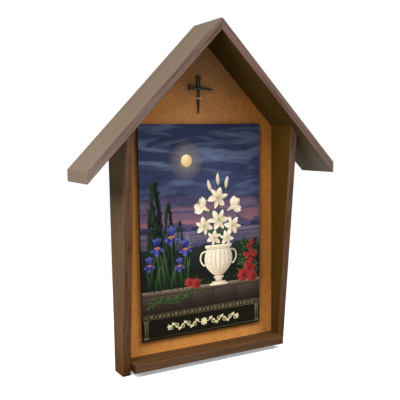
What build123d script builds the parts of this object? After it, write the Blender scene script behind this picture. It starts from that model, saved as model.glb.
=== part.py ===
"""Wayside shrine: a gabled wooden shadow box that shelters a picture panel and a cross of two nails."""

import os
from math import cos, radians, sin, tan

from build123d import *

# Picture panel
picture_width = 317
picture_height = 486
picture_board_thickness = 5
picture_print_thickness = 1

# Clear space around the picture
side_margin = 39.7  # picture's edge to the side board
lower_margin = 32  # sill to the picture's lower edge
soffit_margin = 34  # picture's upper corner to the soffit above it

# Back panel, side boards and sill
back_panel_thickness = 19
side_thickness = 19
side_foot_depth = 44
side_head_depth = 98
foot_drop = 11  # the side boards run on below the sill as feet
sill_thickness = 19
sill_projection = 26  # sill's front edge ahead of the feet
eased_edge = 1.5  # radius on the boards' exposed edges

# Roof
roof_thickness = 19
roof_pitch = 45.4  # degrees
ridge_flat = 3  # width planed off each board along the ridge
eave_overhang = 92.8  # roof's lower end beyond the side board
gable_overhang = 20  # roof's front edge ahead of the side boards

# Cross of two cut nails, pinned to the panel by a wire staple
cross_offset = -5  # upright's axis from the ridge line
cross_rise = 24  # picture's upper edge to the upright's tip
upright_length = 81
upright_root_width = 10.2
upright_tip_width = 3.6
arm_length = 61.5
arm_root_width = 8.4
arm_tip_width = 4.2
arm_drop = 26.3  # upright's head to the arm's axis
arm_head_reach = 27  # arm's head to the upright's axis
arm_tilt = 3.5  # degrees that the arm's tip hangs low
shank_depth = 5
head_overlap = 1.6  # head beyond the shank on each side
head_thickness = 3.5
head_depth = 7
head_chamfer = 1
staple_rise = 33  # upright's tip to the staple
staple_wire = 1.2
staple_bend = 0.8
staple_clearance = 0.2

# Derived places, with the origin at the middle of the base
slope = tan(radians(roof_pitch))
roof_plumb_thickness = roof_thickness / cos(radians(roof_pitch))
inner_half_width = picture_width / 2 + side_margin
outer_half_width = inner_half_width + side_thickness
roof_half_span = outer_half_width + eave_overhang
roof_depth = side_head_depth + gable_overhang
back_y = roof_depth / 2
panel_front_y = back_y - back_panel_thickness
print_back_y = panel_front_y - picture_board_thickness
upright_front_y = panel_front_y - shank_depth
sill_top = foot_drop + sill_thickness
picture_bottom = sill_top + lower_margin
picture_top = picture_bottom + picture_height
ridge_soffit = picture_top + soffit_margin + picture_width / 2 * slope
ridge_top = ridge_soffit + roof_plumb_thickness - ridge_flat * slope
upright_tip = picture_top + cross_rise
upright_head = upright_tip + upright_length


def soffit_height(x):
    """Height of the roof's underside at a distance x from the ridge line."""
    return ridge_soffit - abs(x) * slope


side_head = soffit_height(inner_half_width)


def facing_front(y):
    """Plane across the shrine at depth y, whose normal points to the front."""
    return Plane.XZ.offset(-y)


def roof_board(label):
    """Left roof board, plumb cut at the ridge and at the eave, with a narrow flat along the ridge."""
    eave_soffit = soffit_height(roof_half_span)
    with BuildPart() as board:
        with BuildSketch(facing_front(back_y)):
            Polygon(
                (0, ridge_soffit),
                (0, ridge_top),
                (-ridge_flat, ridge_top),
                (-roof_half_span, eave_soffit + roof_plumb_thickness),
                (-roof_half_span, eave_soffit),
                align=None,
            )
        extrude(amount=roof_depth)
        ridge_edges = board.edges().filter_by_position(Axis.X, -ridge_flat, 0)
        fillet(board.edges() - ridge_edges, eased_edge)
    board.part.label = label
    return board.part


def side_board(label):
    """Left side board: cut to the roof's pitch on top, and tapering in depth to its foot."""
    with BuildPart() as board:
        with BuildSketch(facing_front(back_y)):
            Polygon(
                (-inner_half_width, 0),
                (-inner_half_width, side_head),
                (-outer_half_width, soffit_height(outer_half_width)),
                (-outer_half_width, 0),
                align=None,
            )
        extrude(amount=side_head_depth)
        with BuildSketch(Plane.YZ.offset(-outer_half_width)):
            Polygon(
                (back_y - side_foot_depth, 0),
                (back_y - side_head_depth, side_head),
                (back_y - side_head_depth, 0),
                align=None,
            )
        extrude(amount=side_thickness, mode=Mode.SUBTRACT)
        front_edges = board.faces().sort_by(Axis.Y)[0].edges().sort_by(SortBy.LENGTH)[-2:]
        fillet(front_edges, eased_edge)
    board.part.label = label
    return board.part


def mirrored(board, label):
    """The same board on the other side of the ridge line."""
    with BuildPart() as other:
        add(board)
        mirror(about=Plane.YZ, mode=Mode.REPLACE)
    other.part.label = label
    return other.part


def cut_nail(label, head_plane, length, root_width, tip_width):
    """Flat-sided nail that lies on head_plane, its head at the plane's origin and its tip below."""
    with BuildPart() as nail:
        with BuildSketch(head_plane):
            Polygon(
                (-root_width / 2, -head_thickness),
                (root_width / 2, -head_thickness),
                (tip_width / 2, -length),
                (-tip_width / 2, -length),
                align=None,
            )
        extrude(amount=shank_depth)
        with BuildSketch(head_plane):
            with Locations((0, -head_thickness / 2)):
                Rectangle(root_width + 2 * head_overlap, head_thickness)
        extrude(amount=head_depth)
        chamfer(nail.faces().sort_by(Axis.Y)[0].edges(), head_chamfer)
    nail.part.label = label
    return nail.part


left_roof_board = roof_board("left_roof_board")
right_roof_board = mirrored(left_roof_board, "right_roof_board")
left_side_board = side_board("left_side_board")
right_side_board = mirrored(left_side_board, "right_side_board")

# Sill between the side boards, standing out past their feet as a ledge
with BuildPart() as sill:
    with BuildSketch(facing_front(panel_front_y)):
        with Locations((0, foot_drop + sill_thickness / 2)):
            Rectangle(2 * inner_half_width, sill_thickness)
    extrude(amount=side_foot_depth + sill_projection - back_panel_thickness)
    fillet(sill.faces().sort_by(Axis.Y)[0].edges(), eased_edge)
sill.part.label = "sill"

# House-shaped panel let in between the boards, flush with their back edges
with BuildPart() as back_panel:
    with BuildSketch(facing_front(back_y)):
        Polygon(
            (-inner_half_width, foot_drop),
            (inner_half_width, foot_drop),
            (inner_half_width, side_head),
            (0, ridge_soffit),
            (-inner_half_width, side_head),
            align=None,
        )
    extrude(amount=back_panel_thickness)
back_panel.part.label = "back_panel"

# Picture: a stiff board on the panel, faced with a printed sheet
with BuildPart() as picture_board:
    with BuildSketch(facing_front(panel_front_y)):
        with Locations((0, picture_bottom + picture_height / 2)):
            Rectangle(picture_width, picture_height)
    extrude(amount=picture_board_thickness)
picture_board.part.label = "picture_board"

with BuildPart() as picture_print:
    with BuildSketch(facing_front(print_back_y)):
        with Locations((0, picture_bottom + picture_height / 2)):
            Rectangle(picture_width, picture_height)
    extrude(amount=picture_print_thickness)
picture_print.part.label = "picture_print"

# Cross: the arm lies across the front of the upright
upright_plane = Plane(
    origin=(cross_offset, panel_front_y, upright_head),
    x_dir=(1, 0, 0),
    z_dir=(0, -1, 0),
)
arm_run = cos(radians(arm_tilt))
arm_fall = sin(radians(arm_tilt))
arm_plane = Plane(
    origin=(
        cross_offset - arm_head_reach * arm_run,
        upright_front_y,
        upright_head - arm_drop + arm_head_reach * arm_fall,
    ),
    x_dir=(arm_fall, 0, arm_run),
    z_dir=(0, -1, 0),
)
cross_upright = cut_nail(
    "cross_upright", upright_plane, upright_length, upright_root_width, upright_tip_width
)
cross_arm = cut_nail("cross_arm", arm_plane, arm_length, arm_root_width, arm_tip_width)

# Wire staple over the upright's shank, its legs on the panel
staple_z = upright_tip + staple_rise
shank_share = staple_rise / (upright_length - head_thickness)
shank_half_width = (upright_tip_width + (upright_root_width - upright_tip_width) * shank_share) / 2
leg_x = shank_half_width + staple_clearance + staple_wire / 2
crown_y = upright_front_y - staple_clearance - staple_wire / 2
with BuildPart() as cross_staple:
    with BuildLine() as wire:
        FilletPolyline(
            (cross_offset - leg_x, panel_front_y, staple_z),
            (cross_offset - leg_x, crown_y, staple_z),
            (cross_offset + leg_x, crown_y, staple_z),
            (cross_offset + leg_x, panel_front_y, staple_z),
            radius=staple_bend,
        )
    with BuildSketch(Plane(origin=wire.line @ 0, z_dir=wire.line % 0)):
        Circle(staple_wire / 2)
    sweep()
cross_staple.part.label = "cross_staple"

pieces = [
    left_roof_board,
    right_roof_board,
    left_side_board,
    right_side_board,
    sill.part,
    back_panel.part,
    picture_board.part,
    picture_print.part,
    cross_upright,
    cross_arm,
    cross_staple.part,
]
os.makedirs("parts", exist_ok=True)
for piece in pieces:
    export_step(piece, f"parts/{piece.label}.step")
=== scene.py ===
# Wayside shrine: stained boards, an amber panel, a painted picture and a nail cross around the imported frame
import random
from math import copysign, cos, pi, radians, sin, sqrt

import bmesh
import bpy
from mathutils import Matrix, Vector, noise


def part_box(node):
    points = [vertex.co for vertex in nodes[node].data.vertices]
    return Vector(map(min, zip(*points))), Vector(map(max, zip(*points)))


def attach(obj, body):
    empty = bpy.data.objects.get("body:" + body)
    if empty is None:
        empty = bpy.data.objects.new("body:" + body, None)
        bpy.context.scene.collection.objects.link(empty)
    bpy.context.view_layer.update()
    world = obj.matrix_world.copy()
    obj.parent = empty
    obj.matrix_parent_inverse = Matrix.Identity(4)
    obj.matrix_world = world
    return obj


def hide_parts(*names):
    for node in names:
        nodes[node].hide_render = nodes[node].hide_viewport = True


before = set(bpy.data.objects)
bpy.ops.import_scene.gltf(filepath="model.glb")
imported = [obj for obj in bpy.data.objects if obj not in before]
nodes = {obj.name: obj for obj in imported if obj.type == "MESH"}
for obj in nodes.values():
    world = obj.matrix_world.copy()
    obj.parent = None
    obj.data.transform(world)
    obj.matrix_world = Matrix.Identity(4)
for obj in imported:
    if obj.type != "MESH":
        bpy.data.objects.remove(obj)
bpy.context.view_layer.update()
scene = bpy.context.scene
mm = 0.001
print("frame loaded:", len(nodes), "nodes")


def addObject(name, data):
    holder = bpy.data.objects.new(name, data)
    scene.collection.objects.link(holder)
    return holder


# small helpers for shader trees, which add to the tree that was opened last
def openTree(owner):
    global tree
    owner.use_nodes = True
    tree = owner.node_tree


def newMaterial(name):
    material = bpy.data.materials.new(name)
    openTree(material)
    return material, tree.nodes["Principled BSDF"]


def put(target, value):
    if isinstance(value, bpy.types.NodeSocket):
        tree.links.new(value, target)
    else:
        target.default_value = value


def addNode(kind, inputs=None, **settings):
    node = tree.nodes.new("ShaderNode" + kind)
    for key, value in settings.items():
        setattr(node, key, value)
    for key, value in (inputs or {}).items():
        put(node.inputs[key], value)
    return node


def calc(operation, a, b=0.0):
    return addNode("Math", {0: a, 1: b}, operation=operation).outputs[0]


def times(a, b):
    return calc("MULTIPLY", a, b)


def vectorCalc(operation, a, b=(0, 0, 0)):
    outputs = addNode("VectorMath", {0: a, 1: b}, operation=operation).outputs
    return outputs["Value" if operation in ("LENGTH", "DISTANCE", "DOT_PRODUCT") else "Vector"]


def blend(factor, a, b, mode="MIX"):
    node = addNode("Mix", {"Factor": factor, "A": a, "B": b}, data_type="RGBA", blend_type=mode)
    return node.outputs["Result"]


def layered(colour, coats, mode="MIX"):
    for factor, tone in coats:
        colour = blend(factor, colour, tone, mode)
    return colour


def remap(value, low, high, toLow=0.0, toHigh=1.0, curve="LINEAR"):
    node = addNode("MapRange", {"Value": value, "From Min": low, "From Max": high,
                                "To Min": toLow, "To Max": toHigh}, interpolation_type=curve)
    return node.outputs["Result"]


def ramp(value, stops):
    node = addNode("ValToRGB", {"Fac": value})
    band = node.color_ramp
    while len(band.elements) < len(stops):
        band.elements.new(0.5)
    for element, (place, colour) in zip(band.elements, stops):
        element.position = place
        element.color = colour
    return node.outputs["Color"]


def rgb(*display):
    # colour given as 0-255 display values, turned into linear light
    shares = [value / 255 for value in display]
    return (*(s / 12.92 if s < 0.04045 else ((s + 0.055) / 1.055) ** 2.4 for s in shares), 1.0)


def noiseOf(vector, scale, detail=4.0, rough=0.5, distortion=0.0):
    if isinstance(scale, tuple):    # a scale for each axis
        vector, scale = vectorCalc("MULTIPLY", vector, scale), 1.0
    node = addNode("TexNoise", {"Vector": vector, "Scale": scale, "Detail": detail,
                                "Roughness": rough, "Distortion": distortion})
    return node.outputs["Fac"]


def split(vector):
    return addNode("SeparateXYZ", {"Vector": vector}).outputs


def objectPlace():
    return addNode("TexCoord").outputs["Object"]


def varied(pattern, middle, less, more):
    # a roughness that follows a pattern, from a little under its middle value to a little over it
    return remap(pattern, 0.3, 0.7, middle - less, middle + more)


def dressShader(shader, colour, roughness, specular=0.5):
    put(shader.inputs["Base Color"], colour)
    put(shader.inputs["Roughness"], roughness)
    shader.inputs["Specular IOR Level"].default_value = specular


def bumpBy(shader, height, strength, distance):
    bump = addNode("Bump", {"Height": height, "Strength": strength, "Distance": distance})
    tree.links.new(bump.outputs[0], shader.inputs["Normal"])


def mixShaders(factor, first, second, output):
    mix = addNode("MixShader", {"Fac": factor, 1: first.outputs[0], 2: second.outputs[0]})
    tree.links.new(mix.outputs[0], tree.nodes[output].inputs["Surface"])


def cornerMask(radius, low, high):
    # 1 along edges, where the rounded normal leaves the face's own normal
    rounded = addNode("Bevel", {"Radius": radius}, samples=4).outputs[0]
    flat = addNode("NewGeometry").outputs["True Normal"]
    return remap(vectorCalc("DOT_PRODUCT", rounded, flat), high, low)


# camera where the photograph was taken from
cameraPlace = {
    "location": (-0.7318, -1.2491, 0.5209), "clipStart": 0.05,    # metres
    "yaw": 29.45, "pitch": -7.43, "roll": 0.79,    # degrees
    "focalPixels": 644.4, "imageWidth": 400, "sensorWidth": 36,
    "shiftPixels": 20,    # the photograph was cropped a little high
}


def placeCamera(place):
    data = bpy.data.cameras.new("photoCamera")
    data.sensor_width = place["sensorWidth"]
    data.lens = place["focalPixels"] / place["imageWidth"] * data.sensor_width
    data.shift_y = place["shiftPixels"] / place["imageWidth"]
    data.clip_start = place["clipStart"]
    turn = Matrix.Rotation(-radians(place["yaw"]), 4, "Z")
    tip = Matrix.Rotation(radians(90 + place["pitch"]), 4, "X")
    roll = Matrix.Rotation(-radians(place["roll"]), 4, "Z")
    scene.camera = addObject("photoCamera", data)
    scene.camera.matrix_world = Matrix.Translation(place["location"]) @ turn @ tip @ roll


placeCamera(cameraPlace)
scene.view_settings.view_transform = "Standard"
print("camera placed")

# plain pale studio with a tall soft box on either side and small lamps in front and behind
studio = {
    "floorColour": (0.9, 0.9, 0.9, 1), "floorBounce": (0.3, 0.28, 0.25, 1), "floorHalf": 6.0,
    "floorRoughness": 0.9, "white": (1, 1, 1, 1),
    "whiteFrom": 0.35, "whiteTo": 1.0, "haze": 0.3,    # metres from the shrine where the floor fades to white
    "ambient": (1.0, 0.96, 0.9, 1), "ambientStrength": 0.04,
    "aim": (0.0, 0.0, 0.4), "lampDistance": 2.3,
    "lamps": {    # degrees round from the front and up, metres wide and tall, watts
        "leftBox": {"round": -70, "up": 38, "wide": 1.2, "tall": 2.0, "power": 118},
        "rightBox": {"round": 57, "up": 40, "wide": 1.2, "tall": 1.6, "power": 104},
        "frontLamp": {"round": -25, "up": 55, "wide": 1.2, "tall": 1.2, "power": 28},
        "backLamp": {"round": 180, "up": 0, "wide": 1.2, "tall": 0.6, "power": 45},
    },
}


def seenDirectly():
    # 1 for rays that show the backdrop itself, in view or in a reflection
    path = addNode("LightPath").outputs
    shown = calc("MAXIMUM", path["Is Camera Ray"], path["Is Glossy Ray"])
    return calc("MAXIMUM", shown, path["Is Transmission Ray"])


def paleFloor(kit):
    material, shader = newMaterial("paleFloor")
    shown = seenDirectly()
    colour = blend(shown, kit["floorBounce"], kit["floorColour"])
    dressShader(shader, colour, kit["floorRoughness"], 0.0)
    away = vectorCalc("LENGTH", addNode("NewGeometry").outputs["Position"])
    far = remap(away, kit["whiteFrom"], kit["whiteTo"], kit["haze"], 1)
    white = addNode("Emission", {"Color": kit["white"], "Strength": 1.0})
    mixShaders(times(far, shown), shader, white, "Material Output")
    return material


def setStudio(kit):
    half = kit["floorHalf"]
    corners = [(x * half, y * half, 0) for x, y in ((-1, -1), (1, -1), (1, 1), (-1, 1))]
    mesh = bpy.data.meshes.new("floor")
    mesh.from_pydata(corners, [], [(0, 1, 2, 3)])
    mesh.materials.append(paleFloor(kit))
    floor = addObject("floor", mesh)

    world = bpy.data.worlds.new("studioWorld")
    scene.world = world
    openTree(world)
    light = tree.nodes["Background"]
    light.inputs["Color"].default_value = kit["ambient"]
    light.inputs["Strength"].default_value = kit["ambientStrength"]
    backdrop = addNode("Background", {"Color": kit["white"], "Strength": 1.0})
    mixShaders(seenDirectly(), light, backdrop, "World Output")

    for name, lamp in kit["lamps"].items():
        data = bpy.data.lights.new(name, "AREA")
        data.shape = "RECTANGLE"
        data.size = lamp["wide"]
        data.size_y = lamp["tall"]
        data.energy = lamp["power"]
        around, up = radians(lamp["round"]), radians(lamp["up"])
        reach = Vector((cos(up) * sin(around), -cos(up) * cos(around), sin(up)))
        holder = addObject(name, data)
        holder.location = Vector(kit["aim"]) + reach * kit["lampDistance"]
        holder.rotation_euler = (-reach).to_track_quat("-Z", "Y").to_euler()


setStudio(studio)
print("studio set")

# stained boards with painted light and shade: one finish with a tone for each kind of face, turned so that
# the grain runs along the board
plain = (1, 1, 1, 1)    # a factor that leaves the stain as it is
noHeightTints = {"paintedLowTopLight": plain, "paintedHeadLight": plain, "paintedFrontLight": plain, "darkerFoot": plain}
boardStainsAndPaintedLight = {    # a roof has painted light low down on its top; a side has painted light at its head and is darker at its foot
    # outer tones are partly stain and partly a painted grey sheen; inner tones are partly stain and partly a
    # deeper painted shade
    "roof": {**noHeightTints, "outer": rgb(91, 80, 69), "inner": rgb(68, 52, 23), "edge": rgb(88, 73, 66),
             "end": rgb(94, 82, 67), "paintedSoffitSheen": rgb(100, 95, 86),
             "faceStreak": 0.3, "edgeStreak": 1.0, "specular": 0.0,
             "streaksFrom": 0.46, "streaksTo": 0.62,    # heights in metres where the streaks set in
             # painted light low down on the roof's top
             "paintedLowTopLight": (1.17, 1.17, 1.17, 1)},
    "side": {**noHeightTints, "outer": rgb(86, 67, 50), "inner": rgb(67, 46, 14), "edge": rgb(81, 58, 39),
             "end": rgb(50, 34, 20), "paintedSoffitSheen": rgb(67, 46, 14),
             "faceStreak": 0.5, "edgeStreak": 0.8, "specular": 0.0, "streaksFrom": -0.1, "streaksTo": 0.1,
             # painted light on the outer face and front edge near the head, lifting the eave's shadow
             "paintedHeadLight": (2.2, 3.1, 3.6, 1), "paintedFrontLight": (1.5, 1.65, 2.2, 1),
             "darkerFoot": (0.8, 0.65, 0.36, 1)},
    "sill": {**noHeightTints, "outer": rgb(63, 43, 24), "inner": rgb(42, 30, 20), "edge": rgb(75, 57, 40),
             "end": rgb(46, 28, 11), "paintedSoffitSheen": rgb(42, 30, 20),
             "faceStreak": 0.7, "edgeStreak": 0.6, "specular": 0.03, "streaksFrom": -0.1, "streaksTo": 0.0},
}
boardFinish = {
    "darkStreak": (0.5, 0.44, 0.4, 1), "rosyStreak": (1.0, 0.8, 0.86, 1), "paleRing": (1.16, 1.14, 1.12, 1),
    "wornAndHighlit": (1.38, 1.35, 1.3, 1), "wornAndHighlitShare": 0.7, "wornAndHighlitRadius": 0.002, "fibreShare": 0.35,
    "wander": (2.5, 9, 9), "wanderReach": 14.0, "ringStretch": (0.05, 1, 1), "ringScale": 55.0,
    "fibre": (14, 700, 700), "streak": (5, 150, 150), "blush": (5, 90, 90), "rub": 40,    # waves a metre
    "weatheredStreak": 0.3,    # share of the streaks that is left low down
    "headFrom": 0.08, "headTo": 0.5, "darkFootFrom": 0.075, "darkFootTo": 0.0,    # heights in metres
    "soffitFrom": 0.525, "soffitTo": 0.442, "headCurve": 4.0,
    "roughness": 0.55, "sheenTint": (1.0, 0.92, 0.6, 1), "bump": (0.2, 0.0002),    # strength, depth in metres
}
plainBoard = {"edgeTint": plain, "paleEave": plain}
boards = {    # turn is in degrees about Y, to lay the grain along X with the outer face up
    "left_roof_board": {**plainBoard, "stain": "roof", "turn": 45, "paleEave": (1.45, 1.65, 1.75, 1)},
    "right_roof_board": {**plainBoard, "stain": "roof", "turn": -45, "paleEave": (1.08, 1.1, 1.12, 1)},
    "left_side_board": {**plainBoard, "stain": "side", "turn": 90},
    "right_side_board": {**plainBoard, "stain": "side", "turn": -90, "edgeTint": (0.93, 1.08, 1.3, 1)},
    "sill": {**plainBoard, "stain": "sill", "turn": 0},
}


def stainedWoodWithPaintedLight(name, board, shift, finish):
    material, shader = newMaterial(name)
    tones = boardStainsAndPaintedLight[board["stain"]]
    turn = (0, radians(board["turn"]), 0)
    place = objectPlace()
    turned = addNode("Mapping", {"Vector": place, "Rotation": turn, "Location": shift}).outputs[0]
    facing = addNode("NewGeometry").outputs["True Normal"]
    side = split(addNode("Mapping", {"Vector": facing, "Rotation": turn}).outputs[0])
    onOuter = remap(side["Z"], 0.5, 0.85)
    onInner = remap(side["Z"], -0.5, -0.85)
    onEnd = remap(calc("ABSOLUTE", side["X"]), 0.5, 0.85)
    onFace = calc("MAXIMUM", onOuter, onInner)
    onEdge = calc("SUBTRACT", 1.0, calc("MAXIMUM", onFace, onEnd))

    wander = noiseOf(turned, finish["wander"], 3)
    rings = addNode("TexWave", {
        "Vector": vectorCalc("MULTIPLY", turned, finish["ringStretch"]), "Scale": finish["ringScale"],
        "Distortion": times(wander, finish["wanderReach"]), "Detail": 2.0, "Detail Scale": 1.5,
    }, wave_type="RINGS", rings_direction="X", wave_profile="SAW").outputs["Fac"]
    fibre = noiseOf(turned, finish["fibre"], 3, 0.6)
    streak = noiseOf(turned, finish["streak"], 4, 0.6)
    blush = noiseOf(turned, finish["blush"], 3, 0.5)

    height = split(place)["Z"]
    low = remap(height, tones["streaksTo"], tones["streaksFrom"])
    weathered = remap(low, 0, 1, 1, finish["weatheredStreak"])
    streaky = remap(onFace, 0, 1, tones["edgeStreak"], tones["faceStreak"])
    strength = times(weathered, streaky)
    upper = remap(height, finish["headFrom"], finish["headTo"])
    upper = calc("POWER", upper, finish["headCurve"])
    # darker towards the foot of a side
    foot = remap(height, finish["darkFootFrom"], finish["darkFootTo"])
    # painted sheen on a roof's underside low down towards the eave; for a side and the sill this tone is
    # their inner tone
    eave = times(onInner, remap(height, finish["soffitFrom"], finish["soffitTo"]))
    # worn edges, which also stand for painted highlights where the rounded arrises catch the light
    rub = remap(noiseOf(place, finish["rub"], 3, 0.6), 0.42, 0.62)
    wearAndHighlight = times(cornerMask(finish["wornAndHighlitRadius"], 0.75, 0.98), rub)

    colour = layered(tones["edge"], [(onOuter, tones["outer"]), (onInner, tones["inner"]),
                                     (eave, tones["paintedSoffitSheen"]), (onEnd, tones["end"])])
    colour = layered(colour, [
        # painted light near a side's head, where the eave's shadow falls
        (times(onOuter, upper), tones["paintedHeadLight"]),
        (times(onEdge, upper), tones["paintedFrontLight"]),
        (foot, tones["darkerFoot"]),
        (onEdge, board["edgeTint"]),
        (times(onOuter, low), tones["paintedLowTopLight"]),
        (times(onEdge, low), board["paleEave"]),
        (times(remap(rings, 0.2, 1.0), strength), finish["paleRing"]),
        (times(remap(blush, 0.45, 0.7), strength), finish["rosyStreak"]),
        (times(remap(streak, 0.47, 0.64), strength), finish["darkStreak"]),
        (remap(fibre, 0.35, 0.75, 0, finish["fibreShare"]), finish["darkStreak"]),
        (times(wearAndHighlight, finish["wornAndHighlitShare"]), finish["wornAndHighlit"]),
    ], "MULTIPLY")

    rough = remap(fibre, 0.2, 0.8, finish["roughness"] - 0.06, finish["roughness"] + 0.1)
    dressShader(shader, colour, rough, tones["specular"])
    shader.inputs["Specular Tint"].default_value = finish["sheenTint"]
    relief = calc("ADD", times(fibre, 0.6), times(streak, 0.4))
    bumpBy(shader, relief, *finish["bump"])
    return material


def dressNode(node, material):
    nodes[node].data.materials.clear()
    nodes[node].data.materials.append(material)


dice = random.Random(41)
for node, board in boards.items():
    shift = (dice.uniform(0, 3), dice.uniform(0.05, 0.12), dice.uniform(0.05, 0.12))
    dressNode(node, stainedWoodWithPaintedLight(node + "StainAndPaintedLight", board, shift, boardFinish))
print("boards stained")

# amber back panel, with painted light low down where the roof gives no shade, a painted pool of light round
# the nails and painted grey shade above
panelStainAndPaintedLight = {
    "base": rgb(153, 98, 43), "dark": rgb(112, 65, 22), "light": rgb(198, 141, 77),
    "speck": 420, "mottle": 60, "drift": (6, 6, 2),    # waves a metre
    "speckShare": 0.4, "mottleShare": 0.4, "driftShare": 0.25,
    # painted light on the lower panel
    "paintedLowLight": (1.48, 1.58, 1.75, 1), "paintedLowLightFrom": 0.2, "paintedLowLightTo": 0.03,    # heights in metres
    # painted grey shade on the upper panel
    "paintedShadeGrey": (0.86, 1.06, 1.6, 1), "shadeGreyFrom": 0.6, "shadeGreyTo": 0.7,
    # painted pool of light round the nails
    "paintedLightPool": (1.64, 1.92, 3.2, 1), "lightPoolMiddle": (0.008, 0.04, 0.596), "lightPoolReach": 0.145,
    "lightPoolStretch": (1, 8, 1),    # the panel's back is left as it is
    "roughness": 0.55, "specular": 0.1, "bump": (0.15, 0.0004),
}


def amberPanel(stain):
    material, shader = newMaterial("amberPanelStainAndPaintedLight")
    place = objectPlace()
    speck = noiseOf(place, stain["speck"], 2, 0.6)
    mottle = noiseOf(place, stain["mottle"], 4, 0.6)
    drift = noiseOf(place, stain["drift"], 3)
    colour = layered(stain["base"], [
        (remap(mottle, 0.4, 0.7, 0, stain["mottleShare"]), stain["dark"]),
        (remap(speck, 0.48, 0.7, 0, stain["speckShare"]), stain["light"]),
        (remap(speck, 0.48, 0.28, 0, stain["speckShare"]), stain["dark"]),
        (remap(drift, 0.4, 0.7, 0, stain["driftShare"]), stain["dark"]),
    ])
    height = split(place)["Z"]
    paintedLowLightMask = remap(height, stain["paintedLowLightFrom"], stain["paintedLowLightTo"])
    shadeGreyMask = remap(height, stain["shadeGreyFrom"], stain["shadeGreyTo"])
    offset = vectorCalc("SUBTRACT", place, stain["lightPoolMiddle"])
    away = vectorCalc("LENGTH", vectorCalc("MULTIPLY", offset, stain["lightPoolStretch"]))
    lightPoolMask = remap(away, stain["lightPoolReach"], 0.0, curve="SMOOTHSTEP")
    # painted light low down, painted grey shade above and a painted pool of light round the nails
    tints = [(paintedLowLightMask, stain["paintedLowLight"]), (shadeGreyMask, stain["paintedShadeGrey"]), (lightPoolMask, stain["paintedLightPool"])]
    colour = layered(colour, tints, "MULTIPLY")
    dressShader(shader, colour, varied(mottle, stain["roughness"], 0.05, 0.08), stain["specular"])
    bumpBy(shader, speck, *stain["bump"])
    return material


dressNode("back_panel", amberPanel(panelStainAndPaintedLight))
print("panel stained")

# painted picture: places on the print in millimetres, right and up from its lower left corner
printLow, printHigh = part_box("picture_print")
printWidth = (printHigh[0] - printLow[0]) / mm
printHeight = (printHigh[2] - printLow[2]) / mm
picture = {
    "friezeTop": 61.6, "friezeBase": 48,    # ornamental strip under the painting, with a plate below it
    "seat": 0.01, "crown": 0.03,    # paint is sunk into the print a little, and stands up along its middle
    "margin": 6,    # blades keep away from the side edges
    "roughness": 0.45, "specular": 0.03, "bump": (0.08, 0.0002),
}
duskView = {
    "zenith": rgb(40, 44, 68), "upper": rgb(48, 56, 84), "lower": rgb(70, 67, 92), "glow": rgb(124, 86, 92),
    "paleCloud": rgb(106, 120, 148), "darkCloud": rgb(26, 29, 46), "roseCloud": rgb(136, 88, 94),
    "moonlight": rgb(150, 140, 122), "farRidge": rgb(66, 62, 88), "midRidge": rgb(44, 46, 68),
    "lake": rgb(60, 66, 94), "lakeGlow": rgb(120, 98, 106),
    "bank": rgb(30, 38, 36), "ground": rgb(20, 21, 19), "frieze": rgb(40, 33, 24), "plate": rgb(15, 13, 6),
    "horizon": 256, "shore": 206, "meadowFoot": 150, "moon": (118, 404), "moonGlow": 46,
    "edges": {    # level, swing, waves a millimetre, place in the noise, softness
        "farRidge": (262, 16, 0.018, 3.1, 0.8), "midRidge": (252, 12, 0.026, 9.4, 0.8),
        "lake": (243, 0.6, 0.2, 2.0, 0.5), "meadow": (206, 11, 0.022, 15.7, 0.8)},
    "patterns": {    # waves a millimetre, slant in degrees, detail
        "darkCloud": ((0.012, 0.026, 1), -14, 6), "paleCloud": ((0.006, 0.034, 1), -22, 6),
        "roseCloud": ((0.006, 0.09, 1), -3, 6), "ripple": ((0.008, 0.22, 1), 0, 4),
        "meadow": ((0.05, 0.02, 1), 0, 6), "stroke": ((0.12, 0.5, 1), -25, 3)},
}


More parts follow.
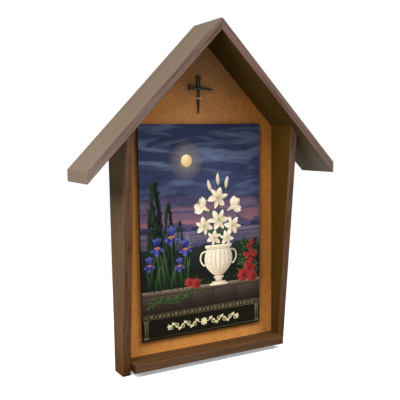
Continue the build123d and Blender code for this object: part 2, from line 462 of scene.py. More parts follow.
def paintedGround(view):
    material, shader = newMaterial("duskGround")
    place = split(objectPlace())
    right = remap(place["X"], printLow[0], printLow[0] + printWidth * mm, 0, printWidth)
    up = remap(place["Z"], printLow[2], printLow[2] + printHeight * mm, 0, printHeight)
    spot = addNode("CombineXYZ", {"X": right, "Y": up}).outputs[0]

    def pattern(name, low, high, toLow=0.0, toHigh=1.0):
        scale, slant, detail = view["patterns"][name]
        turn = (0, 0, radians(slant))
        slanted = addNode("Mapping", {"Vector": spot, "Rotation": turn, "Scale": scale}).outputs[0]
        return remap(noiseOf(slanted, 1.0, detail, 0.55, 0.6), low, high, toLow, toHigh)

    def below(name):
        level, swing, scale, seed, soft = view["edges"][name]
        along = calc("ADD", times(right, scale), seed)
        ridge = addNode("TexNoise", {"W": along, "Scale": 1.0, "Detail": 5.0, "Roughness": 0.5},
                        noise_dimensions="1D").outputs["Fac"]
        top = remap(ridge, 0.2, 0.8, level - swing, level + swing)
        return remap(calc("SUBTRACT", up, top), -soft, soft, 1, 0)

    horizon, shore = view["horizon"], view["shore"]
    sky = ramp(remap(up, horizon, printHeight),
               [(0.0, view["glow"]), (0.12, view["lower"]), (0.38, view["upper"]), (1.0, view["zenith"])])
    high = remap(up, horizon + 30, horizon + 95, 0.2, 0.8)
    low = remap(up, horizon + 70, horizon + 12)
    toMoon = vectorCalc("DISTANCE", spot, view["moon"] + (0,))
    sky = layered(sky, [
        (pattern("darkCloud", 0.5, 0.75, 0, 0.85), view["darkCloud"]),
        (times(pattern("paleCloud", 0.5, 0.74), high), view["paleCloud"]),
        (times(pattern("roseCloud", 0.46, 0.66), low), view["roseCloud"]),
        (remap(toMoon, view["moonGlow"], 10, 0, 0.45), view["moonlight"]),
    ])

    water = blend(pattern("ripple", 0.4, 0.68), view["lake"], view["lakeGlow"])
    water = blend(remap(up, shore, horizon - 12, 0.6, 0), water, view["midRidge"])
    meadow = blend(remap(up, view["meadowFoot"], shore), view["ground"], view["bank"])
    meadow = blend(pattern("meadow", 0.45, 0.75, 0, 0.6), meadow, view["ground"])
    colour = layered(sky, [(below("farRidge"), view["farRidge"]), (below("midRidge"), view["midRidge"]),
                           (below("lake"), water), (below("meadow"), meadow)])
    stroke = pattern("stroke", 0.25, 0.75, 0.82, 1.14)
    stroke = addNode("CombineXYZ", {"X": stroke, "Y": stroke, "Z": stroke}).outputs[0]
    colour = blend(1.0, colour, stroke, "MULTIPLY")

    for part, edge in (("frieze", picture["friezeTop"]), ("plate", picture["friezeBase"])):
        colour = blend(remap(up, edge + 0.2, edge - 0.2), colour, view[part])
    grain = noiseOf(spot, 1.6, 3, 0.6)
    rough = varied(grain, picture["roughness"], 0.05, 0.08)
    dressShader(shader, colour, rough, picture["specular"])
    bumpBy(shader, grain, *picture["bump"])
    return material


dressNode("picture_print", paintedGround(duskView))
print("dusk ground painted")

# painted shapes: grids of points on the print, each with a thin body and marks for its paint
layers = {}


def lay(layer, grid, lift, tone=0.5, wrap=False):
    layers.setdefault(layer, []).append((grid, lift, tone, wrap))


def smoothRun(points, count):
    # smooth line through a few given points
    path = [Vector(point) for point in points]
    padded = [path[0] * 2 - path[1]] + path + [path[-1] * 2 - path[-2]]
    run = []
    for step in range(count + 1):
        whole = step / count * (len(path) - 1)
        index = min(int(whole), len(path) - 2)
        t = whole - index
        a, b, c, d = padded[index:index + 4]
        square = 2 * a - 5 * b + 4 * c - d
        cube = 3 * b - a - 3 * c + d
        run.append(0.5 * (2 * b + (c - a) * t + square * t ** 2 + cube * t ** 3))
    return run


def ribbon(points, width, rows=8, columns=2):
    # strip along a smooth line, its width a function of the share along it
    run = smoothRun(points, rows)
    grid = []
    for i, spot in enumerate(run):
        ahead = run[min(i + 1, rows)] - run[max(i - 1, 0)]
        side = Vector((ahead.y, -ahead.x)).normalized()
        half = max(width(i / rows), 0.15) / 2
        grid.append([spot + side * half * (2 * j / columns - 1) for j in range(columns + 1)])
    return grid


def bar(start, end, width):
    return ribbon([start, end], lambda t: width, 1, 1)


def slab(left, low, right, high):
    return bar(((left + right) / 2, low), ((left + right) / 2, high), right - left)


def headingOf(degrees):
    return Vector((cos(radians(degrees)), sin(radians(degrees))))


def ring(centre, inner, outer, count):
    spokes = [headingOf(-360 * j / count) for j in range(count)]
    return [[Vector(centre) + spoke * radius for spoke in spokes] for radius in (inner, outer)]


def leanInward(root, heading, length):
    # a blade that would lean out of the picture leans the other way
    tip = root[0] + headingOf(heading).x * length
    return heading if picture["margin"] < tip < printWidth - picture["margin"] else 180 - heading


def petal(root, heading, length, width, bend=0.0, blunt=0.75, rows=8, columns=4):
    # leaf or petal from its root towards heading, bowed sideways by a share of its length
    run = headingOf(heading) * length
    bow = Vector((-run.y, run.x)) * bend
    root = Vector(root)
    return ribbon([root, root + run * 0.5 + bow, root + run],
                  lambda t: width * max(sin(pi * min(t ** 0.9, 1.0)), 0) ** blunt, rows, columns)


def paintPiece(name, patches, material):
    corners, faces, marks = [], [], []
    for grid, lift, tone, wrap in patches:
        rows, columns = len(grid), len(grid[0])
        spans = columns if wrap else columns - 1
        last, end = rows - 1, columns - 1
        first = len(corners)
        for top in (True, False):
            for i, row in enumerate(grid):
                for j, spot in enumerate(row):
                    across = j / spans
                    crown = 0 if wrap else picture["crown"] * (1 - (2 * across - 1) ** 2)
                    rise = lift + crown if top else -picture["seat"]
                    corners.append((printLow[0] + spot[0] * mm, printLow[1] - rise * mm,
                                    printLow[2] + spot[1] * mm))
                    marks.extend((i / last, across, tone, 1.0))

        def at(i, j, under=False):
            return first + (rows * columns if under else 0) + i * columns + j % columns

        def wall(a, b):
            faces.append((at(*a), at(*b), at(*b, True), at(*a, True)))

        for i in range(last):
            for j in range(spans):
                patch = (i, j), (i, j + 1), (i + 1, j + 1), (i + 1, j)
                faces.append([at(*spot) for spot in patch])
                faces.append([at(*spot, True) for spot in reversed(patch)])
        for j in range(spans):
            wall((0, j + 1), (0, j))
            wall((last, j), (last, j + 1))
        for i in range(0 if wrap else last):
            wall((i, 0), (i + 1, 0))
            wall((i + 1, end), (i, end))
    mesh = bpy.data.meshes.new(name)
    mesh.from_pydata(corners, [], faces)
    mesh.color_attributes.new("paint", "FLOAT_COLOR", "POINT").data.foreach_set("color", marks)
    mesh.materials.append(material)
    piece = addObject(name, mesh)
    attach(piece, "root")


def paintOf(name, palette):
    # colour runs from root to tip; the left is in moonlight and the right in shade
    material, shader = newMaterial(name + "Paint")
    *tones, shading = palette
    root, middle, tip, shade = (rgb(*tone) for tone in tones)
    marks = addNode("Attribute", attribute_name="paint").outputs["Color"]
    marks = addNode("SeparateColor", {"Color": marks}).outputs
    stroke = noiseOf(objectPlace(), (520, 520, 210), 3, 0.6)
    colour = ramp(marks["Red"], [(0.0, root), (0.5, middle), (1.0, tip)])
    colour = layered(colour, [
        (remap(marks["Green"], 0.5, 1.0, 0, shading), shade),
        (remap(marks["Blue"], 0.5, 0.0, 0, 0.7), shade),
        (remap(marks["Blue"], 0.5, 1.0, 0, 0.6), tip),
        (remap(stroke, 0.4, 0.75, 0, 0.45), shade),
    ])
    rough = varied(stroke, picture["roughness"], 0.05, 0.08)
    dressShader(shader, colour, rough, picture["specular"])
    return material


palettes = {    # paint at the root, middle and tip of a shape and in its shade, and how deep the shade is
    "moon": ((206, 172, 112), (232, 206, 150), (242, 226, 186), (176, 138, 88), 0.5),
    "moonGlitter": ((108, 98, 108), (166, 148, 132), (108, 98, 108), (92, 84, 104), 0.3),
    "cypress": ((8, 12, 12), (20, 32, 27), (48, 64, 48), (6, 9, 12), 0.7),
    "grass": ((10, 15, 10), (26, 38, 22), (58, 70, 38), (8, 12, 10), 0.5),
    "stone": ((30, 24, 20), (50, 41, 34), (74, 63, 54), (24, 18, 16), 0.35),
    "coping": ((44, 36, 30), (92, 80, 68), (136, 120, 102), (52, 42, 36), 0.3),
    "urn": ((172, 152, 126), (214, 200, 174), (232, 222, 200), (104, 84, 76), 0.55),
    "leaf": ((14, 26, 16), (38, 62, 34), (78, 98, 56), (10, 18, 14), 0.7),
    "lily": ((158, 158, 96), (220, 208, 184), (236, 228, 210), (150, 128, 122), 0.6),
    "lilyVein": ((150, 156, 96), (190, 180, 146), (206, 196, 170), (150, 130, 110), 0.2),
    "anther": ((150, 84, 30), (198, 122, 44), (220, 154, 70), (110, 56, 22), 0.4),
    "iris": ((22, 20, 60), (46, 54, 124), (100, 106, 178), (18, 14, 50), 0.6),
    "rose": ((44, 6, 10), (110, 22, 28), (164, 58, 54), (40, 5, 10), 0.5),
    "gilt": ((82, 74, 52), (104, 95, 69), (138, 127, 96), (50, 43, 30), 0.35),
    "scroll": ((186, 174, 132), (206, 196, 156), (224, 216, 182), (138, 124, 84), 0.4),
}
brush = random.Random(7)
vary = brush.uniform    # a little chance in each stroke

# moon and its track on the lake
moon = {"radius": 14, "lift": 0.05, "track": 20, "trackDrop": 15, "spacing": 1.9,
        "shortest": 1.6, "longest": 3.6, "widening": 0.42, "sway": 1.5, "swayStep": 0.3, "glint": 0.9}
moonX, moonY = duskView["moon"]
lay("moon", ribbon([(moonX, moonY - moon["radius"]), (moonX, moonY + moon["radius"])],
                   lambda t: 2 * moon["radius"] * sqrt(max(1 - (2 * t - 1) ** 2, 0)), 18, 6), moon["lift"])
for step in range(moon["track"]):
    rise = duskView["horizon"] - moon["trackDrop"] - step * moon["spacing"] + vary(-0.5, 0.5)
    reach = vary(moon["shortest"], moon["longest"]) + step * moon["widening"] * vary(0.3, 1)
    middle = moonX + vary(-1, 1) * (moon["sway"] + step * moon["swayStep"])
    glint = ribbon([(middle - reach, rise), (middle, rise + 0.3), (middle + reach, rise)],
                   lambda t: moon["glint"] * sin(pi * t) + 0.15, 6, 1)
    lay("moonGlitter", glint, moon["lift"], vary(0.05, 0.75))

# cypresses on the far bank
grove = {    # foot, height, width and lift of each tree, and shares of its height or width
    "trees": [((98, 196), 74, 15, 0.06), ((36, 168), 196, 36, 0.12), ((70, 172), 138, 27, 0.16)],
    "tiers": 26, "trunkWidth": 0.16, "tuftLength": 0.12, "tuftWidth": 0.2,
}
for (footX, footY), height, width, lift in grove["trees"]:
    trunk = bar((footX, footY - 4), (footX, footY + height * 0.3), width * grove["trunkWidth"])
    lay("cypress", trunk, lift, 0.2)
    for tier in range(grove["tiers"], -1, -1):
        share = tier / grove["tiers"]
        girth = width / 2 * min(1, 0.45 + share * 4) * (1 - share ** 1.5)
        tufts = max(2, round(girth / 3))
        for k in range(tufts):
            lean = 2 * k / (tufts - 1) - 1
            root = (footX + girth * lean * 0.8 + vary(-1, 1), footY + height * 0.9 * share + vary(-2, 2))
            length = height * grove["tuftLength"] * vary(0.8, 1.2)
            heading = 90 - 20 * lean + vary(-6, 6)
            tuft = petal(root, heading, length, width * grove["tuftWidth"], 0.05 * lean, 0.8, 4, 2)
            rise = lift + 0.22 * (1 - share) + vary(0, 0.02)
            lay("cypress", tuft, rise, 0.5 - 0.28 * lean + vary(-0.2, 0.2))

# stone ledge across the foreground, with grass behind it
ledge = {"base": 62.4, "stoneTop": 101.5, "top": 113.5, "joint": 0.8, "stoneLift": 0.3, "copingLift": 0.34,
         "stones": (0, 0.18, 0.4, 0.59, 0.79, 1),    # where the stones meet, as shares of the width
         "blades": 110, "bladeMargin": 7, "bladeLift": 0.2}
for share, nextShare in zip(ledge["stones"], ledge["stones"][1:]):
    left = share * printWidth + (ledge["joint"] / 2 if share > 0 else 0)
    right = nextShare * printWidth - (ledge["joint"] / 2 if nextShare < 1 else 0)
    lay("stone", slab(left, ledge["base"], right, ledge["stoneTop"]), ledge["stoneLift"], vary(0.35, 0.6))
lay("coping", slab(0, ledge["stoneTop"] + ledge["joint"], printWidth, ledge["top"]), ledge["copingLift"])
for blade in range(ledge["blades"]):
    root = (vary(ledge["bladeMargin"], printWidth - ledge["bladeMargin"]), ledge["top"] - 1.5)
    length = vary(9, 30)
    heading = leanInward(root, vary(72, 108), length)
    leaf = petal(root, heading, length, vary(1, 2), vary(-0.15, 0.15), 0.6, 4, 1)
    lay("grass", leaf, ledge["bladeLift"] + vary(0, 0.08), vary(0.1, 0.7))

# fluted urn, by heights above its foot with half widths
urn = {
    "middle": 200, "foot": 108, "flutes": 9, "bowlLift": 0.44, "handleLift": 0.43, "rollColumns": 8,
    "bowl": [(22, 7), (30, 19), (44, 32), (60, 38), (76, 36), (86, 30)],
    "rolls": [(0, 5, 24, 0.55, 0.47), (5, 9, 19, 0.4, 0.47), (9, 17, 9, 0.3, 0.47), (17, 21.5, 13, 0.5, 0.47),
              (86, 90, 32, 0.35, 0.6), (90, 97, 36, 0.62, 0.62)],    # from, to, half width, tone, lift
    "handle": [(30, 84), (45, 80), (49, 64), (40, 50), (35, 54)],
}


def onUrn(x, rise):
    return Vector((urn["middle"] + x, urn["foot"] + rise))


def roundAcross(share):
    # from -1 to 1 across a round body, at a share of its half turn
    return sin(radians(-90 + 180 * share))


bowlRun = smoothRun(urn["bowl"], 14)
for flute in range(urn["flutes"]):
    edges = [roundAcross((flute + k / 3) / urn["flutes"]) for k in range(4)]
    tone = 0.82 - 0.75 * (flute / (urn["flutes"] - 1)) ** 1.3
    grid = [[onUrn(half * edge, rise) for edge in edges] for rise, half in bowlRun]
    lay("urn", grid, urn["bowlLift"], tone)
for low, high, half, tone, lift in urn["rolls"]:
    row = [half * roundAcross(j / urn["rollColumns"]) for j in range(urn["rollColumns"] + 1)]
    lay("urn", [[onUrn(x, rise) for x in row] for rise in (low, high)], lift, tone)
for side in (-1, 1):
    handle = [onUrn(x * side, rise) for x, rise in urn["handle"]]
    lay("urn", ribbon(handle, lambda t: 4.6 - 1.8 * t, 14, 3), urn["handleLift"], 0.6 - 0.3 * side)

# lilies in the urn
lilies = {    # places from the middle of the urn's mouth
    "mouth": Vector((urn["middle"], 203)),
    "sides": [((-24, 83), 52, 150, -8), ((25, 81), 52, 28, 8)],    # place, size, heading, bow of the stem
    "buds": [((-20, 135), 108), ((23, 141), 78), ((1, 149), 92)],    # place, heading
    "faces": [((-1, 113), 54, 12), ((-38, 49), 47, 40), ((39, 45), 47, -8), ((1, 61), 52, 62),
              ((-12, 19), 40, 20), ((23, 17), 38, 48)],    # place, size, turn
    "leaves": 15, "leafSwing": 75, "leafSpread": 22, "budLength": 30, "budWidth": 9,
    "narrowPetal": 0.2, "broadPetal": 0.27, "filament": 0.27, "sideMouth": 0.46,    # shares of the size
    "antherLength": 3.4, "antherWidth": 1.5, "antherTurn": 80,
    "stemLift": 0.5, "budStemLift": 0.48, "sideLift": 0.56, "faceLift": 0.72,
}


def stem(points, lift):
    lay("leaf", ribbon(points, lambda t: 2.2 - 0.8 * t, 10, 2), lift, 0.55)


def stamens(heart, size, turn, spread, lift):
    for k in range(6):
        heading = turn + spread * (k - 2.5) / 2.5
        tip = Vector(heart) + headingOf(heading) * size * lilies["filament"] * vary(0.85, 1.1)
        lay("lilyVein", ribbon([heart, tip], lambda t: 0.7, 3, 1), lift, 0.6)
        heading += lilies["antherTurn"]
        root = tip - headingOf(heading) * lilies["antherLength"] / 2
        anther = petal(root, heading, lilies["antherLength"], lilies["antherWidth"], 0, 0.5, 4, 2)
        lay("anther", anther, lift + 0.03)


def lilyFace(heart, size, turn, lift):
    heart = Vector(heart)
    for k in (0, 2, 4, 1, 3, 5):
        broad = k % 2
        heading = turn + 60 * k
        aim = headingOf(heading)
        length = size * 0.5 * (0.86 + 0.14 * abs(aim.x)) * vary(0.95, 1.05)
        wide = size * lilies["broadPetal" if broad else "narrowPetal"]
        rise = lift + 0.07 * broad + 0.008 * k
        tone = 0.52 - 0.2 * aim.x + 0.12 * aim.y + vary(-0.06, 0.06)
        root = heart + aim * size * 0.03
        lay("lily", petal(root, heading, length, wide, vary(-0.06, 0.06)), rise, tone)
        vein = ribbon([root, root + aim * length * 0.75], lambda t: 0.8 - 0.5 * t, 4, 1)
        lay("lilyVein", vein, rise + 0.04, tone)
    stamens(heart, size, turn + 90, 150, lift + 0.2)


def lilySide(root, size, heading, lift):
    aim = headingOf(heading)
    mouth = root + aim * size * lilies["sideMouth"]
    for swing, rise, bend in ((38, 0.0, 0.05), (-38, 0.01, -0.05), (8, 0.02, 0.05)):
        behind = petal(mouth - aim * size * 0.1, heading + swing, size * 0.46, size * 0.2, bend)
        lay("lily", behind, lift + rise, 0.3)
    stamens(mouth, size, heading, 34, lift + 0.06)
    lay("lily", ribbon([root, root + aim * size * 0.3, mouth + aim * size * 0.08],
                       lambda t: size * (0.1 + 0.3 * t ** 1.6), 8, 6), lift + 0.1, 0.5)
    for swing, bend in ((62, 0.16), (-62, -0.16), (20, 0.16)):
        inFront = petal(mouth - aim * size * 0.12, heading + swing * 0.8, size * 0.5, size * 0.23, bend)
        lay("lily", inFront, lift + 0.14 + 0.001 * swing, 0.6 + 0.003 * swing)


mouth = lilies["mouth"]
for offset, size, heading, bow in lilies["sides"]:
    place = mouth + Vector(offset)
    stem([mouth, ((mouth.x + place.x) / 2 + bow, mouth.y + 43), place], lilies["stemLift"])
    lilySide(place, size, heading, lilies["sideLift"])
for offset, heading in lilies["buds"]:
    aim = headingOf(heading)
    root = mouth + Vector(offset) - aim * 8
    stem([mouth, ((mouth.x + root.x) / 2, mouth.y + 65), root], lilies["budStemLift"])
    bud = petal(root, heading, lilies["budLength"], lilies["budWidth"], 0.04, 0.7)
    lay("lily", bud, lilies["sideLift"], 0.35)
    vein = ribbon([root, root + aim * lilies["budLength"] * 0.8], lambda t: 1.0 - 0.6 * t, 4, 1)
    lay("lilyVein", vein, lilies["sideLift"] + 0.06, 0.3)
for k in range(lilies["leaves"]):
    lean = 2 * k / (lilies["leaves"] - 1) - 1
    root = (mouth.x - lilies["leafSpread"] * lean, mouth.y - 1)
    heading = 90 - lilies["leafSwing"] * lean + vary(-6, 6)
    leaf = petal(root, heading, vary(46, 74), vary(6, 9), 0.16 * lean)
    lay("leaf", leaf, lilies["stemLift"] + 0.04 * brush.random(), 0.5 - 0.25 * lean)
for offset, size, turn in lilies["faces"]:
    place = mouth + Vector(offset)
    stem([mouth, (mouth + place) / 2, place], lilies["stemLift"])
    lilyFace(place, size, turn, lilies["faceLift"])

# blue irises on the left
irises = {
    "blooms": [((40, 214), 40), ((76, 236), 42), ((112, 206), 38), ((20, 176), 34), ((96, 168), 32)],
    "petals": [(62, 0.52, 0.3, 0.1, 0.0), (118, 0.52, 0.3, -0.1, 0.02), (90, 0.55, 0.32, -0.1, 0.05),
               (-150, 0.5, 0.26, 0.1, 0.04), (-30, 0.5, 0.26, -0.1, 0.06),
               (-92, 0.56, 0.34, -0.1, 0.1)],    # heading, length, width, bend, lift
    "beards": (-150, -92, -30), "stemLift": 0.42, "bloomLift": 0.5,
    "leaves": 16, "firstLeaf": 16, "leafPitch": 7, "leafFoot": 109, "leafLift": 0.4,
}
for place, size in irises["blooms"]:
    root = (place[0] * 0.8 + 14, 110)
    halfWay = ((root[0] + place[0]) / 2 + 2, 160)
    lay("leaf", ribbon([root, halfWay, place], lambda t: 2.6 - t, 8, 2), irises["stemLift"], 0.5)
    for heading, length, wide, bend, rise in irises["petals"]:
        tone = 0.55 + vary(-0.2, 0.15)
        lay("iris", petal(place, heading, size * length, size * wide, bend), irises["bloomLift"] + rise, tone)
    for heading in irises["beards"]:
        beard = petal(place, heading, size * 0.24, size * 0.06, 0, 0.5, 4, 2)
        lay("anther", beard, irises["bloomLift"] + 0.16, 0.7)
for k in range(irises["leaves"]):
    root = (irises["firstLeaf"] + irises["leafPitch"] * k + vary(-2, 2), irises["leafFoot"])
    length = vary(48, 104)
    heading = leanInward(root, 90 + vary(-16, 16), length)
    leaf = petal(root, heading, length, vary(5, 7.5), vary(-0.05, 0.05))
    lay("leaf", leaf, irises["leafLift"] + 0.05 * brush.random(), vary(0.2, 0.65))

# red roses on a bush and along the ledge
roses = {
    "rows": [(7, 0.52, 0.42, 0.0), (6, 0.38, 0.36, 0.08), (5, 0.25, 0.28, 0.16),
             (3, 0.14, 0.18, 0.24)],    # petals, length, width, lift
    "bush": Vector((289, 158)), "halfWidth": 31, "halfHeight": 56, "leaves": 170, "blooms": 13,
    "goldenAngle": 137.5, "leafLift": 0.36, "bushLift": 0.5, "ledgeLift": 0.6,
    "onLedge": [((268, 124), 31), ((295, 119), 27), ((283, 142), 26), ((138, 119), 26), ((120, 123), 22)],
}


def roseBloom(heart, size, lift):
    for count, reach, wide, rise in roses["rows"]:
        turn = vary(0, 360)
        for k in range(count):
            heading = turn + 360 * k / count
            aim = headingOf(heading)
            shape = petal(heart, heading, size * reach, size * wide, 0.12, 0.5, 6, 4)
            lay("rose", shape, lift + rise + 0.006 * k, 0.5 - 0.25 * aim.x + 0.15 * aim.y)


for k in range(roses["leaves"]):
    angle, reach = vary(0, 360), brush.random() ** 0.6
    spot = headingOf(angle) * reach
    place = roses["bush"] + Vector((spot.x * roses["halfWidth"], spot.y * roses["halfHeight"]))
    length = vary(8, 14)
    heading = angle + vary(-70, 70)
    tip = place + headingOf(heading) * length
    if max(place.x, tip.x) < printWidth - 4 and tip.y > 112:
        leaf = petal(place, heading, length, length * 0.45, 0.06, 0.7, 5, 2)
        lay("leaf", leaf, roses["leafLift"] + 0.1 * (1 - reach), vary(0, 0.75))
for k in range(roses["blooms"]):
    spot = headingOf(roses["goldenAngle"] * k) * sqrt((k + 0.5) / roses["blooms"]) * 0.9
    place = roses["bush"] + Vector((spot.x * (roses["halfWidth"] - 12), spot.y * roses["halfHeight"]))
    roseBloom(place, vary(11, 16), roses["bushLift"])
for place, size in roses["onLedge"]:
    for k in range(4):
        leaf = petal(place, vary(0, 360), size * 0.62, size * 0.3, 0.05)
        lay("leaf", leaf, 0.5 + 0.01 * k, vary(0.3, 0.8))
    roseBloom(place, size, roses["ledgeLift"])

# ivy over the ledge
ivy = {"run": [(150, 112), (112, 100), (82, 86), (40, 92), (8, 78)], "leaves": 26, "stemLift": 0.42,
       "leafLift": 0.46, "lobes": [(0, 10, 0.02), (48, 7, 0), (-48, 7, 0)]}    # swing, length, lift
lay("leaf", ribbon(ivy["run"], lambda t: 1.4 - 0.7 * t, ivy["leaves"], 1), ivy["stemLift"], 0.35)
for k, spot in enumerate(smoothRun(ivy["run"], ivy["leaves"])[1:-1]):
    heading = (60 if k % 2 else -75) + vary(-30, 30)
    for swing, reach, rise in ivy["lobes"]:
        lobe = petal(spot, heading + swing, reach, 5, 0.03, 0.7, 5, 2)
        lay("leaf", lobe, ivy["leafLift"] + 0.012 * (k % 3) + rise, vary(0.35, 0.9))

# frieze of crosses and open lozenges, with a corner block and a pilaster at each end
frieze = {
    "motifs": 27, "first": 23.3, "arm": 4.7, "stroke": 1.4, "lozenge": 3.1, "lozengeHole": 1.6, "line": 0.7,
    "cornerFrom": 3.2, "cornerTo": 15.8, "leaf": 4.4, "footLine": 5.2, "footFrom": 16, "lift": 0.1,
    "pilaster": [    # left, right, from, to and tone of each slab
        (-6.4, 6.4, 43.4, 46.4, 0.34), (-5.2, 5.2, 40.6, 42.8, 0.24), (-5.2, 5.2, 7.6, 9.4, 0.24),
        (-6.4, 6.4, 4.2, 7.0, 0.3), (-4.25, -2.35, 9.4, 40.6, 0.38), (2.35, 4.25, 9.4, 40.6, 0.26),
        (-0.5, 0.5, 9.4, 40.6, 0.14)],
}
friezeMiddle = (picture["friezeTop"] + picture["friezeBase"]) / 2
for level, inset, tone in ((picture["friezeTop"] - 0.8, frieze["cornerFrom"], 0.3),
                           (picture["friezeBase"] + 0.6, frieze["cornerFrom"], 0.3),
                           (frieze["footLine"], frieze["footFrom"], 0.2)):
    lay("gilt", bar((inset, level), (printWidth - inset, level), frieze["line"]), frieze["lift"], tone)
pitch = (printWidth - 2 * frieze["first"]) / (frieze["motifs"] - 1)
for k in range(frieze["motifs"]):
    heart = Vector((frieze["first"] + pitch * k, friezeMiddle))
    if k % 2:
        lay("gilt", ring(heart, frieze["lozengeHole"], frieze["lozenge"], 4), frieze["lift"], 0.85, True)
    else:
        for heading, rise in ((45, 0), (135, 0.04)):
            arm = headingOf(heading) * frieze["arm"]
            lay("gilt", bar(heart - arm, heart + arm, frieze["stroke"]), frieze["lift"] + rise, 1.0)
for mirror in (-1, 1):
    def across(distance):
        return printWidth / 2 + mirror * (printWidth / 2 - distance)

    for distance in (frieze["cornerFrom"], frieze["cornerTo"]):
        ends = (across(distance), picture["friezeBase"]), (across(distance), picture["friezeTop"])
        lay("gilt", bar(*ends, frieze["line"]), frieze["lift"] + 0.02, 0.4)
    middle = across((frieze["cornerFrom"] + frieze["cornerTo"]) / 2)
    for k in range(4):
        leaf = petal((middle, friezeMiddle), 45 + 90 * k, frieze["leaf"], 2.0, 0, 0.6, 4, 2)
        lay("gilt", leaf, frieze["lift"], 0.36)
    for left, right, low, high, tone in frieze["pilaster"]:
        lay("gilt", slab(middle + left, low, middle + right, high), frieze["lift"], tone)

# vine scroll on the plate
vine = {
    "middle": (printWidth / 2, 25.5), "from": 12, "waves": 2.5, "wave": 31, "swing": 4.4, "width": 2.1,
    "curlRadius": 5.8, "curlWidth": 1.7, "curlSteps": 15, "curlFrom": 100, "curlTurn": 33,    # degrees
    "leafLength": 8.2, "leafWidth": 4.4, "rosette": 8, "rosetteLength": 10, "rosetteWidth": 4.6,
    "lift": 0.1, "curlLift": 0.13, "leafLift": 0.16, "tipLift": 0.14, "heartLift": 0.22,
}
for mirror in (-1, 1):
    def vinePoint(distance, rise):
        return Vector((vine["middle"][0] + mirror * distance, vine["middle"][1] + rise))

    points = []
    for k in range(round(vine["waves"] * 8) + 1):
        points.append(vinePoint(vine["from"] + k / 8 * vine["wave"], vine["swing"] * sin(pi * k / 4)))
    tendril = ribbon(points, lambda t: vine["width"] * (1 - 0.3 * t), 2 * len(points), 2)
    lay("scroll", tendril, vine["lift"], 0.55)
    for k in range(round(vine["waves"] * 2)):
        flip = 1 if k % 2 == 0 else -1
        root = vine["from"] + (k / 2 + 0.3) * vine["wave"]
        curl = []
        for step in range(vine["curlSteps"]):
            spoke = headingOf(vine["curlFrom"] - vine["curlTurn"] * step)
            spoke *= vine["curlRadius"] * (1 - 0.052 * step)
            curl.append(vinePoint(root + 3 + spoke.x, flip * (spoke.y - 2)))
        lay("scroll", ribbon(curl, lambda t: vine["curlWidth"] * (1 - 0.4 * t), 36, 2), vine["curlLift"], 0.5)
        for swing, size in ((-35, 1.0), (25, 0.75)):
            heading = 90 * flip + mirror * flip * swing
            length, width = size * vine["leafLength"], size * vine["leafWidth"]
            leaf = petal(vinePoint(root - 4, flip * 3.4), heading, length, width, 0.08, 0.7, 6, 2)
            lay("scroll", leaf, vine["leafLift"], 0.6)
    for swing in (-52, 0, 52):
        heading = (0 if mirror > 0 else 180) + swing
        leaf = petal(points[-1], heading, vine["leafLength"], vine["leafWidth"] * 0.8, 0, 0.7, 6, 2)
        lay("scroll", leaf, vine["tipLift"], 0.6)
for k in range(vine["rosette"]):
    odd = k % 2
    heading = 360 * k / vine["rosette"]
    leaf = petal(vine["middle"], heading, vine["rosetteLength"], vine["rosetteWidth"], 0, 0.7, 6, 2)
    lay("scroll", leaf, vine["curlLift"] + 0.02 * odd, 0.4 + 0.25 * odd)
lay("scroll", ring(vine["middle"], 0.3, 2.2, 16), vine["heartLift"], 0.8, True)

for layer, palette in palettes.items():
    paintPiece("picture_" + layer, layers[layer], paintOf(layer, palette))
print("picture painted:", len(palettes), "layers")

# edge of the picture's board
boardEdge = {"black": rgb(20, 16, 13), "scuff": rgb(66, 54, 42), "scuffScale": (260, 900, 260),
             "scuffShare": 0.7, "roughness": 0.5, "scuffedRoughness": 0.75, "specular": 0.2}


def blackEdge(edge):
    material, shader = newMaterial("pictureEdge")
    scuff = noiseOf(objectPlace(), edge["scuffScale"], 4, 0.65)
    scuff = remap(scuff, 0.55, 0.75, 0, edge["scuffShare"])
    rough = remap(scuff, 0, 1, edge["roughness"], edge["scuffedRoughness"])
    dressShader(shader, blend(scuff, edge["black"], edge["scuff"]), rough, edge["specular"])
    return material


dressNode("picture_board", blackEdge(boardEdge))
print("picture edge blackened")

# forged nails of the cross, hammered all over and lying on their flat backs
nailForging = {    # millimetres
    "headThickness": 3.5, "headOverlap": 1.6, "headDepth": 7.0, "shankDepth": 5.0, "tipDepth": 4.0,
    "crownShare": 0.82,    # of the head's width and depth, left on top
    "crownRun": 0.4, "neckFrom": 0.75, "neckRun": 0.4, "neckEnd": 1.5,    # shares of the head's thickness
    "thinFrom": 0.6,    # share of the shank from where it thins
    "ridgeShare": 0.22,    # the front falls away on both sides of a ridge
    "around": 28, "headStations": 12, "stations": 62, "squareness": 5.0, "sharpDegrees": 38,
    "dent": 0.45, "dentsPerMm": 0.3, "dentBias": 0.25, "deepest": 0.1, "seed": 3.7,
}
crossNails = {
    "forged_upright": {"node": "cross_upright", "drop": 0, "reach": 0, "heading": -90,
                       "length": 81, "root": 10.2, "tip": 3.6},
    "forged_arm": {"node": "cross_arm", "drop": 26.3, "reach": 27, "heading": -3.5,
                   "length": 61.5, "root": 8.4, "tip": 4.2},
}
ironFinish = {"black": rgb(26, 23, 18), "blue": rgb(58, 61, 60), "rust": rgb(62, 42, 24),
              "rubbedAndHighlitEdge": rgb(124, 126, 124), "rustShare": 0.75, "rubbedAndHighlitShare": 0.7, "rubbedAndHighlitRadius": 0.0007,
              "scale": 420, "rustScale": 190, "roughness": 0.46, "metallic": 0.7, "rustMetallic": 0.1,
              "bump": (0.35, 0.0004)}


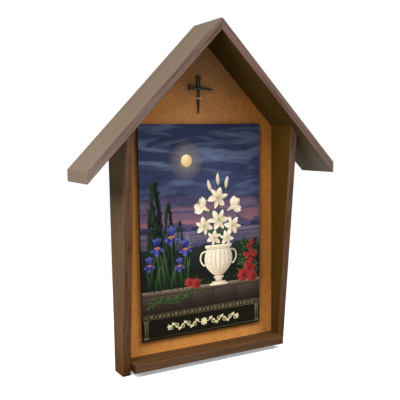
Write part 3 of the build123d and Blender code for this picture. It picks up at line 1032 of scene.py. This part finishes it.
def forgedIron(finish):
    material, shader = newMaterial("forgedIron")
    place = objectPlace()
    scale = noiseOf(place, finish["scale"], 4, 0.6)
    rust = remap(noiseOf(place, finish["rustScale"], 4, 0.65), 0.55, 0.72, 0, finish["rustShare"])
    # rubbed edges, which also stand for painted highlights along the nail's edges
    rubbedAndHighlit = times(cornerMask(finish["rubbedAndHighlitRadius"], 0.8, 0.99), remap(scale, 0.4, 0.6))
    colour = layered(finish["black"], [(remap(scale, 0.42, 0.7), finish["blue"]), (rust, finish["rust"]),
                                       (times(rubbedAndHighlit, finish["rubbedAndHighlitShare"]), finish["rubbedAndHighlitEdge"])])
    dressShader(shader, colour, varied(scale, finish["roughness"], -0.12, -0.08))
    metal = remap(rust, 0, finish["rustShare"], finish["metallic"], finish["rustMetallic"])
    put(shader.inputs["Metallic"], metal)
    bumpBy(shader, scale, *finish["bump"])
    return material


def between(a, b, share):
    return a + (b - a) * min(max(share, 0), 1)


def nailSection(forging, size, t):
    # half width and depth of the nail at a distance t from the top of its head, and how far its neck has run
    thick = forging["headThickness"]
    share = (t - thick) / (size["length"] - thick)
    thinned = (share - forging["thinFrom"]) / (1 - forging["thinFrom"])
    neck = between(0, 1, (t / thick - forging["neckFrom"]) / forging["neckRun"])
    crown = between(forging["crownShare"], 1, t / thick / forging["crownRun"])
    headHalf = (size["root"] / 2 + forging["headOverlap"]) * crown
    half = between(headHalf, between(size["root"], size["tip"], share) / 2, neck)
    shankDepth = between(forging["shankDepth"], forging["tipDepth"], thinned)
    return half, between(forging["headDepth"] * crown, shankDepth, neck), neck


def forgeNail(name, size, material, forging):
    low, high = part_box("cross_upright")
    topOfCross = Vector(((low[0] + high[0]) / 2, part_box(size["node"])[1][1], high[2])) / mm
    heading = headingOf(size["heading"])
    aim = Vector((heading.x, 0, heading.y))
    across = Vector((-aim.z, 0, aim.x))
    out = Vector((0, -1, 0))
    head = topOfCross - Vector((0, 0, size["drop"])) - aim * size["reach"]
    seed = Vector((size["length"], size["root"], forging["seed"]))
    around = forging["around"]
    neckEnd = forging["neckEnd"] * forging["headThickness"]
    stations = [neckEnd * step / forging["headStations"] for step in range(forging["headStations"])]
    stations += [neckEnd + (size["length"] - neckEnd) * step / forging["stations"]
                 for step in range(forging["stations"] + 1)]

    def squared(value):    # pushes a place on a circle out towards a square
        return copysign(abs(value) ** (2 / forging["squareness"]), value)

    shape = bmesh.new()
    loops = []
    for t in stations:
        half, depth, neck = nailSection(forging, size, t)
        loop = []
        for j in range(around):
            angle = 2 * pi * j / around
            x = half * squared(cos(angle))
            rise = depth / 2 * (1 + squared(sin(angle)))
            rise -= forging["ridgeShare"] * neck * depth * abs(x) / half * (rise / depth) ** 2
            spot = aim * t + across * x + out * rise
            hollow = noise.noise(spot * forging["dentsPerMm"] + seed) + forging["dentBias"]
            dent = forging["dent"] * max(hollow, 0)
            x *= 1 - min(dent / half, forging["deepest"])
            rise *= 1 - min(dent / depth, forging["deepest"])
            loop.append(shape.verts.new((head + aim * t + across * x + out * rise) * mm))
        loops.append(loop)
    for before, after in zip(loops, loops[1:]):
        for j in range(around):
            k = (j + 1) % around
            shape.faces.new((before[j], before[k], after[k], after[j]))
    for loop in (loops[0], loops[-1]):
        centre = shape.verts.new(sum((vert.co for vert in loop), Vector()) / around)
        for j in range(around):
            shape.faces.new((loop[j], loop[(j + 1) % around], centre))
    bmesh.ops.recalc_face_normals(shape, faces=shape.faces)
    mesh = bpy.data.meshes.new(name)
    shape.to_mesh(mesh)
    shape.free()
    mesh.shade_smooth()
    mesh.set_sharp_from_angle(angle=radians(forging["sharpDegrees"]))
    mesh.materials.append(material)
    piece = addObject(name, mesh)
    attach(piece, "root")
    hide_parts(size["node"])


nailIron = forgedIron(ironFinish)
for name, size in crossNails.items():
    forgeNail(name, size, nailIron, nailForging)
print("nails forged")

# bright wire of the staple
wireFinish = {"steel": rgb(246, 244, 238), "tarnish": rgb(184, 178, 166), "spots": 900, "roughness": 0.3,
              "drawLines": (60, 2500, 2500), "bump": (0.2, 0.0002)}


def drawnWire(finish):
    material, shader = newMaterial("drawnWire")
    place = objectPlace()
    spots = noiseOf(place, finish["spots"], 3, 0.6)
    colour = blend(remap(spots, 0.45, 0.7), finish["steel"], finish["tarnish"])
    dressShader(shader, colour, varied(spots, finish["roughness"], 0.06, 0.15))
    shader.inputs["Metallic"].default_value = 1.0
    bumpBy(shader, noiseOf(place, finish["drawLines"], 2), *finish["bump"])
    return material


dressNode("cross_staple", drawnWire(wireFinish))
print("staple brightened")
